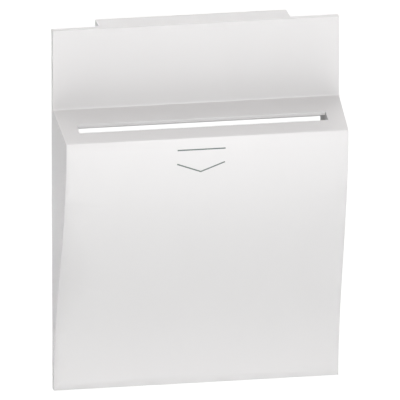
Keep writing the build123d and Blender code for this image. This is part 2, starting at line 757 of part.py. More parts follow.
def switch_terminals():
    """The two fixed contacts and the common one, which ends in the post that the blade turns on."""
    rest_contact = fixed_contact(REST_CONTACT_Y, 1, TERMINAL_PIN_X[0])
    card_contact = fixed_contact(CARD_CONTACT_Y, -1, TERMINAL_PIN_X[1])
    foot_z = PLUNGER_Z - BLADE_W / 2 - POST_FOOT
    post = Pos(BLADE_PIVOT_X, BLADE_Y, foot_z) * extrude(Circle(PIVOT_POST_R), amount=BLADE_W + POST_FOOT)
    foot_x = (BLADE_PIVOT_X - COMMON_W / 2, BLADE_PIVOT_X + COMMON_W / 2)
    foot = block(*foot_x, BLADE_Y - COMMON_W / 2, TERMINAL_PIN_Y, foot_z - CONTACT_T, foot_z)
    return [rest_contact, card_contact, post + foot]


def rear_housing():
    """The box in the wall: walls, corner bosses, board posts and the terminals' window."""
    w = HOUSING_W / 2
    t = HOUSING_WALL
    body = block(-w, w, FRAME_BACK_Y, HOUSING_BACK_Y, -w, w)
    body = fillet(body.edges().filter_by(Axis.Y), HOUSING_R)
    body = chamfer(body.faces().sort_by(Axis.Y)[-1].edges(), HOUSING_EDGE)
    inside = block(-w + t, w - t, FRAME_BACK_Y, HOUSING_BACK_Y - t, -w + t, w - t)
    for x, z in four_corners(POST_XZ, POST_XZ):
        boss_x = (x - BOSS_W / 2, x + BOSS_W / 2)
        inside -= block(*boss_x, FRAME_BACK_Y, HOUSING_BACK_Y, z - BOSS_W / 2, z + BOSS_W / 2)
    body -= inside
    for x, z in four_corners(POST_XZ, POST_XZ):
        outer_x = (math.copysign(w, x), x - math.copysign(BOSS_W / 2, x))
        outer_z = (math.copysign(w, z), z - math.copysign(BOSS_W / 2, z))
        body -= block(*outer_x, HOUSING_BACK_Y - HEAD_POCKET, HOUSING_BACK_Y, *outer_z)
        body -= screw_hole(x, z, FRAME_BACK_Y, HOUSING_BACK_Y, SMALL_SHANK_R, HEAD_PLAY)
    for x, z in board_screw_places():
        body += rod_y(x, z, BOARD_Y + BOARD_T, HOUSING_BACK_Y - t / 2, BOARD_POST_R, SHANK_SIDES)
        body -= screw_hole(x, z, BOARD_Y, BOARD_POST_DEPTH, BOARD_SCREW_R, THREAD_PLAY)
    half_w = BLOCK_W / 2 + BLOCK_MARGIN
    half_h = BLOCK_H / 2 + BLOCK_MARGIN
    return body - block(-half_w, half_w, HOUSING_BACK_Y - t, HOUSING_BACK_Y, -half_h, half_h)


def housing_screws():
    """Four long screws that pull the rear housing against the switch frame."""
    head_y = HOUSING_BACK_Y - HEAD_POCKET + SMALL_HEAD_H
    sizes = (SMALL_SHANK_R, SMALL_HEAD_R, SMALL_HEAD_H)
    places = four_corners(POST_XZ, POST_XZ)
    return [screw(x, z, head_y, HOUSING_SCREW_END_Y, *sizes) for x, z in places]


def board_screw_places():
    """The two corners of the board that its screws hold."""
    return [(BOARD_SCREW_X, BOARD_SCREW_Z), (-BOARD_SCREW_X, -BOARD_SCREW_Z)]


def circuit_board():
    """The board, notched round the corner bosses, with holes for the pins and its two screws."""
    w = BOARD_W / 2
    y = (BOARD_Y, BOARD_Y + BOARD_T)
    body = block(-w, w, *y, -w, w)
    notch = POST_XZ - BOSS_W / 2 - BOARD_NOTCH_GAP
    for sx, sz in four_corners(1, 1):
        body -= block(sx * notch, sx * w, *y, sz * notch, sz * w)
    for x, z in board_screw_places():
        body -= screw_hole(x, z, *y, BOARD_SCREW_R, HEAD_PLAY)
    pin_z = (PLUNGER_Z - TERMINAL_W / 2 - HOLE_PLAY, PLUNGER_Z + TERMINAL_W / 2 + HOLE_PLAY)
    pin_half = CONTACT_T / 2 + HOLE_PLAY
    for x in TERMINAL_PIN_X:
        body -= block(x - pin_half, x + pin_half, *y, *pin_z)
    return body - common_pin_hole()


def common_pin_hole():
    """The slit in the board for the common contact's pin."""
    half = COMMON_W / 2 + HOLE_PLAY
    top = PLUNGER_Z - BLADE_W / 2 - POST_FOOT + HOLE_PLAY
    bottom = top - CONTACT_T - 2 * HOLE_PLAY
    return block(BLADE_PIVOT_X - half, BLADE_PIVOT_X + half, BOARD_Y, BOARD_Y + BOARD_T, bottom, top)


def board_screws():
    """Two screws that hold the board on its posts."""
    ends = (BOARD_Y - BOARD_HEAD_H, BOARD_SCREW_END_Y)
    sizes = (BOARD_SCREW_R, BOARD_HEAD_R, BOARD_HEAD_H)
    return [screw(x, z, *ends, *sizes) for x, z in board_screw_places()]


def relay():
    """The relay that switches the room's circuit."""
    body = on_board(*RELAY)
    body = chamfer(body.edges().filter_by(Axis.Y), CASE_EDGE)
    return chamfer(body.faces().sort_by(Axis.Y)[0].edges(), CASE_EDGE)


def film_capacitor():
    """The mains capacitor that feeds the low-voltage side."""
    body = on_board(*FILM_CAPACITOR)
    return chamfer(body.edges().filter_by(Axis.Y), CASE_EDGE)


def smoothing_capacitor():
    """The round capacitor, with its crimped groove near the board."""
    crimp_low, crimp_high, crimp_depth = CRIMP
    body = rod_y(*CAPACITOR_AT, BOARD_Y - CAPACITOR_H, BOARD_Y, CAPACITOR_R, ROUND_SIDES)
    body = chamfer(body.faces().sort_by(Axis.Y)[0].edges(), CASE_EDGE)
    crimp_y = (BOARD_Y - crimp_high, BOARD_Y - crimp_low)
    ring = rod_y(*CAPACITOR_AT, *crimp_y, CAPACITOR_R, ROUND_SIDES)
    ring -= rod_y(*CAPACITOR_AT, *crimp_y, CAPACITOR_R - crimp_depth, ROUND_SIDES)
    return body - ring


def varistor():
    """The surge disc on two short legs."""
    body = rod_x(BOARD_Y - VARISTOR_LIFT, VARISTOR_Z, *VARISTOR_X, VARISTOR_R, ROUND_SIDES)
    for face in (body.faces().sort_by(Axis.X)[0], body.faces().sort_by(Axis.X)[-1]):
        body = chamfer(face.edges(), CASE_EDGE)
    middle_x = sum(VARISTOR_X) / 2
    leg_x = (middle_x - LEG_W / 2, middle_x + LEG_W / 2)
    for z in (VARISTOR_Z - VARISTOR_LEG_PITCH / 2, VARISTOR_Z + VARISTOR_LEG_PITCH / 2):
        body += block(*leg_x, BOARD_Y - VARISTOR_LIFT, BOARD_Y, z - LEG_W / 2, z + LEG_W / 2)
    return body


def bridge_rectifier():
    """The small flat rectifier block."""
    body = on_board(*RECTIFIER)
    return chamfer(body.faces().sort_by(Axis.Y)[0].edges(), CASE_EDGE)


def resistors():
    """Two resistors lying on the board, fatter at their ends, with bent leads."""
    left, right = RESISTOR_X
    cap_w, cap_rise = RESISTOR_CAP
    half = LEAD_W / 2
    y = BOARD_Y - RESISTOR_LIFT
    group = []
    for z in RESISTOR_Z:
        body = rod_x(y, z, left, right, RESISTOR_R, HEAD_SIDES)
        for x0 in (left, right - cap_w):
            body += rod_x(y, z, x0, x0 + cap_w, RESISTOR_R + cap_rise, HEAD_SIDES)
        body += block(left - LEAD_OUT, right + LEAD_OUT, y - half, y + half, z - half, z + half)
        for x0 in (left - LEAD_OUT, right + LEAD_OUT - LEAD_W):
            body += block(x0, x0 + LEAD_W, y - half, BOARD_Y, z - half, z + half)
        group.append(body)
    return group


def slot_leds():
    """Two light-emitting diodes under the light guide's foot."""
    group = []
    for x in (-LED_X, LED_X):
        dome = rod_y(x, LED_Z, BOARD_Y - LED_H, BOARD_Y, LED_R, HEAD_SIDES)
        dome = chamfer(dome.faces().sort_by(Axis.Y)[0].edges(), CASE_EDGE)
        group.append(dome + rod_y(x, LED_Z, BOARD_Y - FLANGE_H, BOARD_Y, FLANGE_R, HEAD_SIDES))
    return group


def light_guide():
    """The clear bar behind the slot, with the fan that brings it the diodes' light."""
    w = GUIDE_BAR_W / 2
    bar = block(-w, w, GUIDE_BAR_FRONT_Y, FRAME_FRONT_Y, *GUIDE_BAR_Z)
    bar = fillet(bar.edges().filter_by(Axis.X).group_by(Axis.Y)[0], GUIDE_BAR_R)
    fan_y = (FRAME_FRONT_Y, BOARD_Y - LED_H - LED_GAP)
    fan = Polyline(
        (-FAN_FRONT_X, fan_y[0]),
        (FAN_FRONT_X, fan_y[0]),
        (FAN_BACK_X, fan_y[1]),
        (-FAN_BACK_X, fan_y[1]),
        close=True,
    )
    z0, z1 = FAN_Z
    return bar + Pos(Z=z0) * extrude(make_face(fan), amount=z1 - z0)


def terminal_places():
    """The terminals' places from left to right."""
    return [TERMINAL_PITCH * (k - (TERMINAL_COUNT - 1) / 2) for k in range(TERMINAL_COUNT)]


def terminal_block():
    """The moulded block with a wire hole, a screw hole and a clamp pocket for each way."""
    w = BLOCK_W / 2
    h = BLOCK_H / 2
    y0 = BOARD_Y + BOARD_T
    pocket_w = CLAMP_W / 2 + CLAMP_PLAY
    pocket_h = CLAMP_H / 2 + CLAMP_PLAY
    pocket_end = CLAMP_END_Y + CLAMP_PLAY
    body = block(-w, w, y0, BLOCK_END_Y, -h, h)
    body = chamfer(body.faces().sort_by(Axis.Y)[-1].edges(), CASE_EDGE)
    for x in terminal_places():
        body -= block(x - pocket_w, x + pocket_w, y0, pocket_end, -pocket_h, pocket_h)
        body -= rod_y(x, WIRE_Z, pocket_end, BLOCK_END_Y, WIRE_HOLE_R)
        body -= rod_y(x, SCREW_Z, pocket_end, BLOCK_END_Y, SCREW_HOLE_R, HEAD_SIDES)
    return body


def terminal_clamps():
    """The brass clamps, each with a square wire opening and a threaded hole."""
    y0 = BOARD_Y + BOARD_T
    cage = CLAMP_W / 2 - CLAMP_WALL
    group = []
    for x in terminal_places():
        body = block(x - CLAMP_W / 2, x + CLAMP_W / 2, y0, CLAMP_END_Y, -CLAMP_H / 2, CLAMP_H / 2)
        body -= block(x - cage, x + cage, y0 + CLAMP_WALL, CLAMP_END_Y, WIRE_Z - cage, WIRE_Z + cage)
        hole_y = (y0 + CLAMP_WALL, CLAMP_END_Y)
        group.append(body - screw_hole(x, SCREW_Z, *hole_y, TERMINAL_SCREW_R, THREAD_PLAY))
    return group


def terminal_screws():
    """The four clamp screws, their heads sunk in the block."""
    ends = (BLOCK_END_Y - HEAD_SUNK, TERMINAL_SCREW_END_Y)
    sizes = (TERMINAL_SCREW_R, TERMINAL_HEAD_R, HEAD_H)
    return [screw(x, SCREW_Z, *ends, *sizes) for x in terminal_places()]


NODES = {
    "front_cover": front_cover,
    "card_guide": card_guide,
    "card_lever": card_lever,
    "lever_pin": lever_pin,
    "return_spring": return_spring,
    "switch_frame": switch_frame,
    "mounting_yoke": mounting_yoke,
    "frame_screws": frame_screws,
    "guide_screws": guide_screws,
    "light_guide": light_guide,
    "microswitch_body": microswitch_body,
    "microswitch_lid": microswitch_lid,
    "switch_plunger": switch_plunger,
    "contact_blade": contact_blade,
    "switch_terminals": switch_terminals,
    "circuit_board": circuit_board,
    "board_screws": board_screws,
    "relay": relay,
    "film_capacitor": film_capacitor,
    "smoothing_capacitor": smoothing_capacitor,
    "varistor": varistor,
    "bridge_rectifier": bridge_rectifier,
    "resistors": resistors,
    "slot_leds": slot_leds,
    "terminal_block": terminal_block,
    "terminal_clamps": terminal_clamps,
    "terminal_screws": terminal_screws,
    "rear_housing": rear_housing,
    "housing_screws": housing_screws,
}


def main():
    os.makedirs("parts", exist_ok=True)
    for name, make in NODES.items():
        shape = make()
        if isinstance(shape, list):
            shape = Compound(children=shape)
        export_step(shape, f"parts/{name}.step")


main()
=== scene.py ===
"""The key card switch as photographed: its materials, small details, lights and camera."""
import json
import math

import bmesh
import bpy
from mathutils import Matrix, Vector
from mathutils.bvhtree import BVHTree


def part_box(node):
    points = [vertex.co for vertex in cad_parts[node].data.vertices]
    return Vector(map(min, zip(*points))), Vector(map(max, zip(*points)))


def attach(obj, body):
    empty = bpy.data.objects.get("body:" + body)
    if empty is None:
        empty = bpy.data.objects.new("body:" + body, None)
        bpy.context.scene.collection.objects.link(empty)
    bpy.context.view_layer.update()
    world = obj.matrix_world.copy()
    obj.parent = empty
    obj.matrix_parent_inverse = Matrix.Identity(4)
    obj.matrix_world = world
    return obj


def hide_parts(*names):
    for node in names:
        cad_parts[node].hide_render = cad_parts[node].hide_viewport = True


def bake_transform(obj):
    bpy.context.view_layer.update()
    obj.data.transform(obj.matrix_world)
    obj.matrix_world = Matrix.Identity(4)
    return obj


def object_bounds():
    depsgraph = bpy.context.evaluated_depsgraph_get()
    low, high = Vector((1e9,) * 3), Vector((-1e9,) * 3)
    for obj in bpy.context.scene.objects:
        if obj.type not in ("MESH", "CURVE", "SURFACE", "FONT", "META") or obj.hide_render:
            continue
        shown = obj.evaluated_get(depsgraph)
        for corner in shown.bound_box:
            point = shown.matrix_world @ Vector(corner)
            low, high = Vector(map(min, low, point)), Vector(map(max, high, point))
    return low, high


MM = 0.001

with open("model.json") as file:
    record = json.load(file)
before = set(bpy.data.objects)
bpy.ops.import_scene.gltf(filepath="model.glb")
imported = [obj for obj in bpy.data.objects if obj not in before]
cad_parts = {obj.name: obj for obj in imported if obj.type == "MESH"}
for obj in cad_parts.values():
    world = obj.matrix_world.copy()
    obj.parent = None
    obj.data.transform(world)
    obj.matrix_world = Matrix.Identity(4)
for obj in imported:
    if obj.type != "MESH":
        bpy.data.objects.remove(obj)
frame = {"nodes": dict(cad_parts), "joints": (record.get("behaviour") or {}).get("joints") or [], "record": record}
nodes = frame["nodes"]
cad_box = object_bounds()
PIVOT = Vector(next(j for j in frame["joints"] if j["name"] == "lever_pivot")["pos_m"])


# Node helpers


def feed(made, inputs):
    """Fills a node's inputs by name or number: a socket is linked, a value is set."""
    for key, value in inputs.items():
        if isinstance(value, bpy.types.NodeSocket):
            made.id_data.links.new(value, made.inputs[key])
        else:
            made.inputs[key].default_value = value


def node(tree, kind, inputs=(), **settings):
    """A shader node with its settings and inputs."""
    made = tree.nodes.new(kind)
    for key, value in settings.items():
        setattr(made, key, value)
    feed(made, dict(inputs))
    return made


def maths(tree, operation, *values):
    """The result of this operation on these numbers or sockets."""
    return node(tree, "ShaderNodeMath", dict(enumerate(values)), operation=operation).outputs[0]


def place(tree, stretch=(1, 1, 1)):
    """Object coordinates in metres, stretched along the axes."""
    coords = node(tree, "ShaderNodeTexCoord").outputs["Object"]
    return node(tree, "ShaderNodeMapping", {"Vector": coords, "Scale": stretch}).outputs["Vector"]


def axes(tree):
    """Object coordinates in metres as separate X, Y and Z sockets."""
    return node(tree, "ShaderNodeSeparateXYZ", {"Vector": place(tree)}).outputs


def noise(tree, size, vector, detail=2.0, rough=0.5):
    """Noise whose grains are about this many metres across, from 0 to 1."""
    values = {"Vector": vector, "Scale": 1 / size, "Detail": detail, "Roughness": rough}
    return node(tree, "ShaderNodeTexNoise", values).outputs["Fac"]


def spread(tree, value, low, high, start=0.3, end=0.7):
    """The value mapped from start..end to low..high."""
    ends = {"Value": value, "From Min": start, "From Max": end, "To Min": low, "To Max": high}
    return node(tree, "ShaderNodeMapRange", ends).outputs["Result"]


def blended(tree, factor, first, second):
    """A colour between two colours."""
    values = {0: factor, 6: first, 7: second}
    return node(tree, "ShaderNodeMix", values, data_type="RGBA").outputs[2]


def bump(tree, heights):
    """Bumps on bumps: a list of (height, strength, depth in metres)."""
    normal = None
    for height, strength, depth in heights:
        made = node(tree, "ShaderNodeBump", {"Height": height, "Strength": strength, "Distance": depth})
        if normal:
            tree.links.new(normal, made.inputs["Normal"])
        normal = made.outputs["Normal"]
    return normal


def shade(colour, amount):
    """The colour made lighter or darker by this factor."""
    return tuple(min(1.0, c * amount) for c in colour[:3]) + (1.0,)


def surface(name):
    """A new material, its node tree and its Principled shader."""
    material = bpy.data.materials.new(name)
    material.use_nodes = True
    return material, material.node_tree, material.node_tree.nodes["Principled BSDF"]


# Moulded plastics and metals: colour, roughness, and what sets each apart

FLOW_MARKS = 9 * MM
FLOW_STRETCH = (1, 1, 0.35)
HANDLED_PATCHES = 22 * MM
STREAKS = 0.3 * MM
PLATING_CLOUDS = 5 * MM
DULL_SPOTS = 0.9 * MM

PLASTICS = {
    "cover_white": dict(colour=(0.83, 0.825, 0.825), rough=0.45, mottle=0.006, depth=0.002 * MM, gloss=0.25),
    "guide_white": dict(colour=(0.84, 0.835, 0.82), rough=0.5),
    "frame_grey": dict(colour=(0.15, 0.155, 0.165), rough=0.55),
    "housing_grey": dict(colour=(0.5, 0.505, 0.505), rough=0.55, depth=0.008 * MM),
    "terminal_black": dict(colour=(0.012, 0.012, 0.013), rough=0.48),
    "lever_black": dict(colour=(0.01, 0.01, 0.011), rough=0.3),
    "switch_case": dict(colour=(0.014, 0.014, 0.015), rough=0.5),
    "plunger_red": dict(colour=(0.36, 0.012, 0.009), rough=0.32),
    "relay_black": dict(colour=(0.01, 0.01, 0.011), rough=0.42),
    "film_yellow": dict(colour=(0.66, 0.36, 0.022), rough=0.35),
    "sleeve_black": dict(colour=(0.012, 0.014, 0.02), rough=0.28),
    "varistor_blue": dict(colour=(0.012, 0.04, 0.23), rough=0.3, grain=0.6 * MM, depth=0.02 * MM),
    "rectifier_black": dict(colour=(0.01, 0.01, 0.011), rough=0.5),
}
METALS = {
    "yoke_steel": dict(colour=(0.56, 0.57, 0.57), rough=0.36, stretch=(1, 1, 0.04)),
    "screw_steel": dict(colour=(0.62, 0.61, 0.58), rough=0.3, stretch=(1, 0.2, 1)),
    "spring_steel": dict(colour=(0.42, 0.42, 0.43), rough=0.28, stretch=(0.2, 1, 1)),
    "brass": dict(colour=(0.62, 0.42, 0.13), rough=0.32, stretch=(1, 0.15, 1)),
}


def moulded(name, colour, rough, grain=0.12 * MM, depth=0.004 * MM, mottle=0.03, gloss=0.45):
    """Moulded plastic: fine eroded grain, faint flow marks in colour, gloss that wanders."""
    material, tree, shader = surface(name)
    flow = noise(tree, FLOW_MARKS, place(tree, FLOW_STRETCH), detail=4.0, rough=0.55)
    fine = noise(tree, grain, place(tree))
    handled = noise(tree, HANDLED_PATCHES, place(tree), detail=3.0)
    tint = spread(tree, flow, 0, 1, start=0.35, end=0.65)
    look = {
        "Base Color": blended(tree, tint, shade(colour, 1 - mottle), shade(colour, 1 + mottle * 0.3)),
        "Roughness": spread(tree, handled, rough - 0.04, rough + 0.05),
        "Normal": bump(tree, [(fine, 0.25, depth)]),
        "Specular IOR Level": gloss,
    }
    feed(shader, look)
    return material


def metal(name, colour, rough, stretch, tarnish=0.12, depth=0.002 * MM):
    """Worked metal: streaks from rolling or drawing, cloudy plating and dull spots."""
    material, tree, shader = surface(name)
    streaks = noise(tree, STREAKS, place(tree, stretch), detail=3.0)
    clouds = noise(tree, PLATING_CLOUDS, place(tree), detail=4.0, rough=0.6)
    spots = noise(tree, DULL_SPOTS, place(tree))
    cloudy = blended(tree, spread(tree, clouds, 0, 1), shade(colour, 1 - tarnish), shade(colour, 1.06))
    dulled = spread(tree, spots, 0, 0.5, start=0.62, end=0.75)
    look = {
        "Base Color": blended(tree, dulled, cloudy, shade(colour, 1 - 2 * tarnish)),
        "Roughness": spread(tree, streaks, rough - 0.06, rough + 0.1),
        "Normal": bump(tree, [(streaks, 0.3, depth)]),
        "Metallic": 1.0,
    }
    feed(shader, look)
    return material


# Circuit board: square patches, most with parallel tracks and the rest solid copper

TRACK_PATCH = 6.5 * MM
TRACK_PITCH = 1.27 * MM
TRACK_HALF = 0.15 * TRACK_PITCH
TRACK_EDGE = 0.2 * TRACK_PITCH
LEVEL_SHARE = 0.45
TRACK_SHARE = 0.8
BOARD_WEAVE = 0.25 * MM
MASK_DARK = (0.004, 0.05, 0.018, 1)
MASK_LIGHT = (0.008, 0.075, 0.028, 1)
MASK_ON_COPPER = (0.012, 0.12, 0.045, 1)


def board_green():
    """Solder mask over copper: patches of parallel tracks, some solid areas, and the board's weave."""
    material, tree, shader = surface("board_green")
    spot = axes(tree)
    patches = place(tree, (1 / TRACK_PATCH, 0, 1 / TRACK_PATCH))
    patch = node(tree, "ShaderNodeVectorMath", {0: patches}, operation="FLOOR").outputs["Vector"]
    lot = node(tree, "ShaderNodeTexWhiteNoise", {"Vector": patch}).outputs["Value"]
    upright = maths(tree, "GREATER_THAN", lot, LEVEL_SHARE)
    solid = maths(tree, "GREATER_THAN", lot, TRACK_SHARE)
    lane = node(tree, "ShaderNodeMix", {0: upright, 2: spot["Z"], 3: spot["X"]}).outputs[0]
    wave = maths(tree, "PINGPONG", lane, TRACK_PITCH / 2)
    tracks = spread(tree, wave, 1, 0, start=TRACK_HALF, end=TRACK_EDGE)
    copper = maths(tree, "MAXIMUM", tracks, solid)
    weave = noise(tree, BOARD_WEAVE, place(tree, (1, 0.2, 1)), detail=1.0)
    mask = blended(tree, spread(tree, weave, 0, 1), MASK_DARK, MASK_LIGHT)
    look = {
        "Base Color": blended(tree, copper, mask, MASK_ON_COPPER),
        "Roughness": spread(tree, weave, 0.25, 0.4),
        "Normal": bump(tree, [(copper, 0.6, 0.03 * MM), (weave, 0.2, 0.01 * MM)]),
    }
    feed(shader, look)
    return material


# Light guide and diodes: the guide's glow is a level line, a little stronger in the middle

GLOW_DROP = 0.07 * MM
GLOW_HALF = 0.58 * MM
GLOW_FADE = 0.05 * MM
GLOW_MIDDLE = 0.9
GLOW_ENDS = 0.87
MIDDLE_WITHIN = 8 * MM
ENDS_BEYOND = 30 * MM
GLOW_OFF_LINE = 0.1
DIODE_GLOW = 0.25
DIODE_CLEAR = 0.6


def lit_guide():
    """Milky acrylic whose front glows along a line near half its height."""
    material, tree, shader = surface("light_guide")
    low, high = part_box("light_guide")
    middle = (low[2] + high[2]) / 2 - GLOW_DROP
    haze = noise(tree, 3 * MM, place(tree), detail=3.0)
    spot = axes(tree)
    outward = maths(tree, "ABSOLUTE", spot["X"])
    along = spread(tree, outward, GLOW_MIDDLE, GLOW_ENDS, start=MIDDLE_WITHIN, end=ENDS_BEYOND)
    off_line = maths(tree, "ABSOLUTE", maths(tree, "SUBTRACT", spot["Z"], middle))
    line = spread(tree, off_line, 1, GLOW_OFF_LINE, start=GLOW_HALF, end=GLOW_HALF + GLOW_FADE)
    look = {
        "Base Color": blended(tree, haze, (0.86, 0.87, 0.87, 1), (0.93, 0.93, 0.92, 1)),
        "Roughness": spread(tree, haze, 0.22, 0.34),
        "Emission Color": (1, 1, 1, 1),
        "Emission Strength": maths(tree, "MULTIPLY", along, line),
    }
    feed(shader, look)
    return material


def clear_resin():
    """The diodes' water-clear resin, with a faint haze and a little light of its own."""
    material, tree, shader = surface("led_clear")
    haze = noise(tree, 0.8 * MM, place(tree))
    look = {
        "Base Color": blended(tree, haze, (0.85, 0.88, 0.9, 1), (0.95, 0.96, 0.97, 1)),
        "Roughness": spread(tree, haze, 0.08, 0.2),
        "Transmission Weight": DIODE_CLEAR,
        "Emission Color": (1, 1, 1, 1),
        "Emission Strength": DIODE_GLOW,
    }
    feed(shader, look)
    return material


# Resistors: where the body and its colour bands lie along X, and the bands' paint

RESISTOR_MIDDLE = -1.7 * MM
RESISTOR_HALF = 3.32 * MM
BAND_HALF = 0.3 * MM
BANDS = [
    (-4.3 * MM, (0.28, 0.09, 0.02, 1)),
    (-2.6 * MM, (0.01, 0.01, 0.01, 1)),
    (-1.5 * MM, (0.6, 0.13, 0.01, 1)),
    (0.9 * MM, (0.5, 0.3, 0.06, 1)),
]
TINNED = (0.6, 0.6, 0.58, 1)


def banded():
    """Resistor lacquer with its colour bands, and tinned leads beyond the body."""
    material, tree, shader = surface("resistor_tan")
    along = axes(tree)["X"]
    flow = noise(tree, 1.5 * MM, place(tree), detail=3.0)
    colour = blended(tree, flow, (0.46, 0.3, 0.14, 1), (0.54, 0.37, 0.19, 1))

    def distance(at):
        return maths(tree, "ABSOLUTE", maths(tree, "SUBTRACT", along, at))

    for at, paint in BANDS:
        colour = blended(tree, maths(tree, "LESS_THAN", distance(at), BAND_HALF), colour, paint)
    lead = maths(tree, "GREATER_THAN", distance(RESISTOR_MIDDLE), RESISTOR_HALF)
    look = {
        "Base Color": blended(tree, lead, colour, TINNED),
        "Metallic": lead,
        "Roughness": spread(tree, flow, 0.24, 0.36),
    }
    feed(shader, look)
    return material


def printed():
    """Pad-printed ink: grey-green, a little thin in places."""
    material, tree, shader = surface("print_ink")
    thin = noise(tree, 0.5 * MM, place(tree), detail=3.0)
    look = {
        "Base Color": blended(tree, spread(tree, thin, 0, 1), (0.115, 0.15, 0.14, 1), (0.15, 0.19, 0.178, 1)),
        "Roughness": spread(tree, thin, 0.45, 0.6),
    }
    feed(shader, look)
    return material


# Every node gets the material of its slot in the record

materials = {name: moulded(name, **look) for name, look in PLASTICS.items()}
materials.update({name: metal(name, **look) for name, look in METALS.items()})
materials["board_green"] = board_green()
materials["light_guide"] = lit_guide()
materials["led_clear"] = clear_resin()
materials["resistor_tan"] = banded()
slot_of = {s["node"]: s["material_slot"] for s in frame["record"]["subparts"]}
for name, piece in nodes.items():
    piece.data.materials.clear()
    piece.data.materials.append(materials[slot_of[name]])


# Edges: every moulding and pressing has slightly rounded ones, in millimetres here

EDGE_ROUND = {
    "front_cover": 0.06,
    "card_guide": 0.12,
    "switch_frame": 0.15,
    "rear_housing": 0.15,
    "terminal_block": 0.12,
    "mounting_yoke": 0.08,
    "terminal_clamps": 0.06,
    "light_guide": 0.15,
    "relay": 0.2,
    "bridge_rectifier": 0.15,
    "microswitch_lid": 0.1,
    "card_lever": 0.12,
    "microswitch_body": 0.08,
    "varistor": 0.12,
    "smoothing_capacitor": 0.15,
}
SAME_SPOT = 0.001 * MM
FLAT_WITHIN_DEG = 0.05
SHARP_FROM_DEG = 28


def soften(piece, width):
    """Rounds the piece's sharp edges, once its flat faces are whole; its own mesh stays as it is."""
    weld = piece.modifiers.new("weld", "WELD")
    weld.merge_threshold = SAME_SPOT
    flat = piece.modifiers.new("flat", "DECIMATE")
    flat.decimate_type = "DISSOLVE"
    flat.angle_limit = math.radians(FLAT_WITHIN_DEG)
    edges = piece.modifiers.new("edges", "BEVEL")
    edges.width = width * MM
    edges.segments = 2
    edges.limit_method = "ANGLE"
    edges.angle_limit = math.radians(SHARP_FROM_DEG)
    edges.use_clamp_overlap = False
    edges.harden_normals = True


for name, width in EDGE_ROUND.items():
    soften(nodes[name], width)


# New meshes: rings of vertices, wires and turned pieces

WIRE_SIDES = 12
NOSE_PER_R = 0.3
END_PER_R = 0.7


def add_object(name, mesh, material, closed=True):
    """A new object made from a bmesh, which is freed; a closed one has its faces turned outward."""
    if closed:
        bmesh.ops.recalc_face_normals(mesh, faces=mesh.faces)
    data = bpy.data.meshes.new(name)
    mesh.to_mesh(data)
    mesh.free()
    made = bpy.data.objects.new(name, data)
    bpy.context.collection.objects.link(made)
    data.materials.append(material)
    return made


def skin(mesh, rings, smooth=True):
    """Faces between rings of vertices, with a cap at each end."""
    count = len(rings[0])
    for a, b in zip(rings, rings[1:]):
        for k in range(count):
            face = mesh.faces.new((a[k], a[(k + 1) % count], b[(k + 1) % count], b[k]))
            face.smooth = smooth
    mesh.faces.new(rings[0])
    mesh.faces.new(rings[-1])


def tube(mesh, path, radius):
    """A round wire along a path, its ends slightly broken."""
    path = [Vector(p) for p in path]
    along = [(b - a).normalized() for a, b in zip(path, path[1:])]
    tangents = [along[0]] + [(a + b).normalized() for a, b in zip(along, along[1:])] + [along[-1]]
    nose = radius * NOSE_PER_R
    path = [path[0], path[0] + tangents[0] * nose, *path[1:-1], path[-1] - tangents[-1] * nose, path[-1]]
    tangents = [tangents[0], *tangents, tangents[-1]]
    radii = [radius * END_PER_R, *[radius] * (len(path) - 2), radius * END_PER_R]
    turns = [2 * math.pi * k / WIRE_SIDES for k in range(WIRE_SIDES)]
    normal = tangents[0].orthogonal().normalized()
    rings = []
    for point, tangent, r in zip(path, tangents, radii):
        normal = (normal - tangent * normal.dot(tangent)).normalized()
        other = tangent.cross(normal)
        ring = [point + (normal * math.cos(t) + other * math.sin(t)) * r for t in turns]
        rings.append([mesh.verts.new(spot) for spot in ring])
    skin(mesh, rings)


# The printed mark under the shelf: a line over a shallow chevron, in millimetres across and up

INK_T = 0.02 * MM
INK_SINK = 0.01 * MM
STROKE = 0.3 * MM
INK_STEP = 0.5 * MM
MITRE_LIMIT = 0.5
LOOK_FROM = cad_box[0].y - 10 * MM
MARK_LINE = [(-7.04, 18.4), (4.23, 18.4)]
MARK_CHEVRON = [(-7.1, 14.95), (-1.5, 12.8), (4.15, 15.0)]

ink = printed()
cover_tree = BVHTree.FromObject(nodes["front_cover"], bpy.context.evaluated_depsgraph_get())


def wall_at(x, z):
    """Where a straight look from the room at this place meets the cover."""
    return cover_tree.ray_cast(Vector((x, LOOK_FROM, z)), Vector((0, 1, 0)))[0]


def ribbon(name, corners):
    """An ink stroke through these corners, laid on the wall."""
    corners = [Vector((x * MM, z * MM)) for x, z in corners]
    path = [corners[0]]
    for a, b in zip(corners, corners[1:]):
        count = math.ceil((b - a).length / INK_STEP)
        path += [a.lerp(b, k / count) for k in range(1, count + 1)]
    mesh = bmesh.new()
    rings = []
    for k, point in enumerate(path):
        before = (point - path[k - 1]).normalized() if k else (path[1] - point).normalized()
        after = (path[k + 1] - point).normalized() if k + 1 < len(path) else before
        along = (before + after).normalized()
        across = Vector((-along.y, along.x)) * (STROKE / 2 / max(MITRE_LIMIT, along.dot(before)))
        ring = []
        for side, lift in ((-1, -INK_SINK), (1, -INK_SINK), (1, INK_T), (-1, INK_T)):
            spot = wall_at(*(point + across * side))
            ring.append(mesh.verts.new(spot - Vector((0, lift, 0))))
        rings.append(ring)
    skin(mesh, rings, smooth=False)
    stroke = add_object(name, mesh, ink)
    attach(stroke, "root")


ribbon("mark_line", MARK_LINE)
ribbon("mark_chevron", MARK_CHEVRON)


# Return spring: round wire, its legs on the lever and on the card guide

SPRING_LEAN_DEG = 10.7
SPRING_TURNS = 3.5 + SPRING_LEAN_DEG / 360
SPRING_STEPS = 28
SPRING_COIL_R = 2.6 * MM
SPRING_WIRE_R = 0.3 * MM
SPRING_LEG_DOWN = 7.5 * MM
SPRING_LEG_UP = 5.5 * MM


